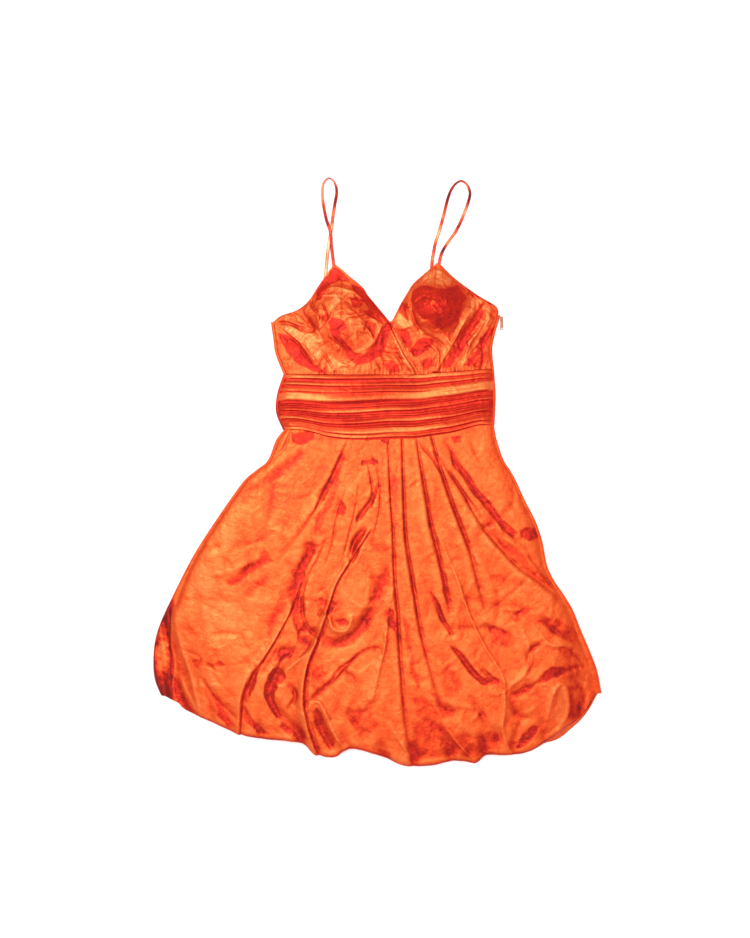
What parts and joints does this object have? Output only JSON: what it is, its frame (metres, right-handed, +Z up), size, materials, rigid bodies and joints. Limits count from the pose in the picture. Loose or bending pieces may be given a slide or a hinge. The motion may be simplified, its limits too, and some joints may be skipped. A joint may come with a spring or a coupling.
{
  "type": "bubble dress",
  "caption": "Sleeveless satin bubble dress laid flat: wrapped V bodice on shoulder straps, ruched midriff band, pleated puffed skirt and a side zip.",
  "frame": {"origin": "centre of the dress's outline as it lies, at the surface that it lies on", "axes": "+X towards the viewer's right, +Y from the hem to the straps, +Z up from the surface, out of the dress's front"},
  "size_m": [0.7825, 1.0283, 0.0283],
  "materials": {
    "skirt_satin": "satin, soft sheen, creased",
    "bodice_satin": "satin, soft sheen, creased",
    "band_satin": "satin, ruched",
    "strap_satin": "satin ribbon",
    "zip_metal": "painted, semi-gloss"
  },
  "bodies": {
    "dress": {"skirt_front": "skirt_satin", "skirt_back": "skirt_satin", "band_front": "band_satin", "band_back": "band_satin", "bodice_front_left": "bodice_satin", "bodice_front_right": "bodice_satin", "bodice_back": "bodice_satin", "strap_left": "strap_satin", "strap_right": "strap_satin", "zip_slider": "zip_metal"},
    "zip_pull": {"zip_pull": "zip_metal"}
  },
  "joints": [
    {"name": "zip_pull_swing", "type": "hinge", "parent": "dress", "child": "zip_pull", "pos_m": [0.2163, 0.266, 0.0035], "axis": [-1, 0, 0], "range_deg": [0, 110]}
  ]
}
